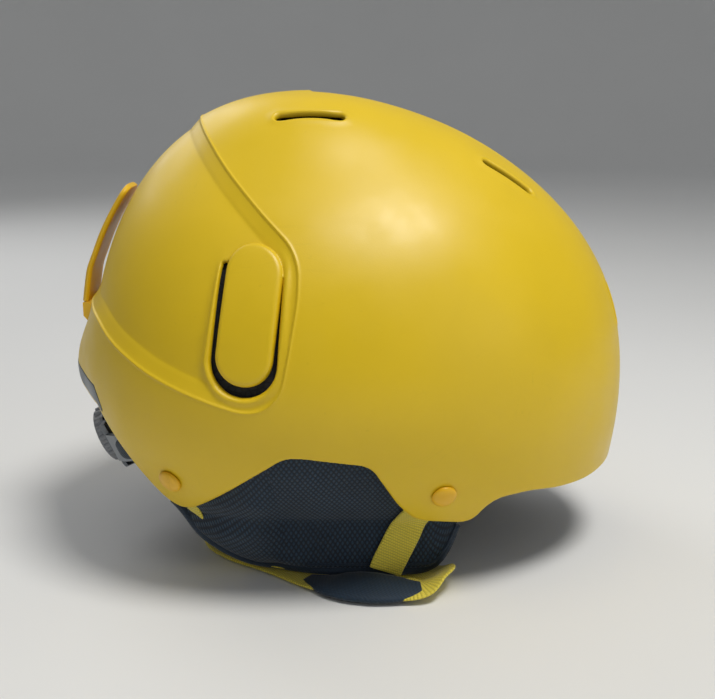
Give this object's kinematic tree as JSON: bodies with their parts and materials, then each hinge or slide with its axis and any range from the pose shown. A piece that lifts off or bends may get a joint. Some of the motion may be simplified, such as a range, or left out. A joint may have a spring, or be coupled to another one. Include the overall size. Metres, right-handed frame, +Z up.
{
  "type": "junior snow helmet",
  "caption": "Child's hard-shell snow helmet with foam liner, soft ear pads, buckled chin strap, rear strap clip, vents and dial-adjusted nape cradle.",
  "frame": {"origin": "centre of the bounding box in plan, at the plane the ear pads stand on", "axes": "+X to the brow, the wearer's forward; +Y to the wearer's left; +Z up"},
  "size_m": [0.2675, 0.2154, 0.2164],
  "materials": {
    "shell_plastic": "matt soft-touch coating, faint scuffs",
    "foam": "moulded bead foam, matt",
    "mesh_fabric": "open mesh over foam",
    "steel": "zinc plated",
    "webbing": "flat woven, cross ribs",
    "pad_fabric": "knitted mesh with smooth piping",
    "lining_fabric": "brushed tricot",
    "hook_tape": "hook tape",
    "black_plastic": "moulded, satin",
    "grey_plastic": "moulded, satin"
  },
  "bodies": {
    "helmet": {"outer_shell": "shell_plastic", "foam_liner": "foam", "side_mesh_right": "mesh_fabric", "side_mesh_left": "mesh_fabric", "goggle_clip_base": "shell_plastic", "goggle_clip_screw": "steel", "strap_rivets": "shell_plastic", "rivet_washers": "steel", "front_strap_right": "webbing", "front_strap_left": "webbing", "rear_strap_right": "webbing", "rear_strap_left": "webbing", "chin_strap_right": "webbing", "chin_strap_left": "webbing", "chin_pad": "pad_fabric", "buckle_socket": "black_plastic", "ear_pad_right": "pad_fabric", "ear_pad_left": "pad_fabric", "ear_lining_right": "lining_fabric", "ear_lining_left": "lining_fabric", "ear_pad_studs": "black_plastic", "brow_pad": "lining_fabric", "crown_pad": "lining_fabric", "side_pad_right": "lining_fabric", "side_pad_left": "lining_fabric", "pad_hook_dots": "hook_tape", "cradle_stay": "grey_plastic", "cradle_housing": "grey_plastic", "dial_cover": "grey_plastic", "dial_screw": "steel", "dial_spring": "steel", "nape_pad": "lining_fabric"},
    "clip": {"goggle_clip": "shell_plastic"},
    "plug": {"buckle_plug": "black_plastic"},
    "dial": {"dial_knob": "grey_plastic", "dial_pinion": "black_plastic"},
    "arm_right": {"cradle_arm_right": "grey_plastic", "arm_pad_right": "lining_fabric"},
    "arm_left": {"cradle_arm_left": "grey_plastic", "arm_pad_left": "lining_fabric"}
  },
  "joints": [
    {"name": "dial_turn", "type": "hinge", "parent": "helmet", "child": "dial", "pos_m": [-0.1085, 0, 0.053], "axis": [-0.9063, 0, -0.4226], "range_deg": [-60, 60]},
    {"name": "arm_right_slide", "type": "slide", "parent": "helmet", "child": "arm_right", "axis": [0, 1, 0], "range_m": [-0.0079, 0.0079]},
    {"name": "arm_left_slide", "type": "slide", "parent": "helmet", "child": "arm_left", "axis": [0, -1, 0], "range_m": [-0.0079, 0.0079]},
    {"name": "goggle_clip_flex", "type": "hinge", "parent": "helmet", "child": "clip", "pos_m": [-0.1279, 0, 0.118], "axis": [0, -1, 0], "range_deg": [0, 15], "stiffness_Nm_per_rad": 0.3},
    {"name": "buckle_release", "type": "slide", "parent": "helmet", "child": "plug", "axis": [0, -1, 0], "range_m": [0, 0.018], "deforming": ["chin_strap_right"]}
  ],
  "couplings": [
    {"joint": "arm_right_slide", "follows": "dial_turn", "m_per_rad": 0.0075},
    {"joint": "arm_left_slide", "follows": "dial_turn", "m_per_rad": 0.0075}
  ]
}
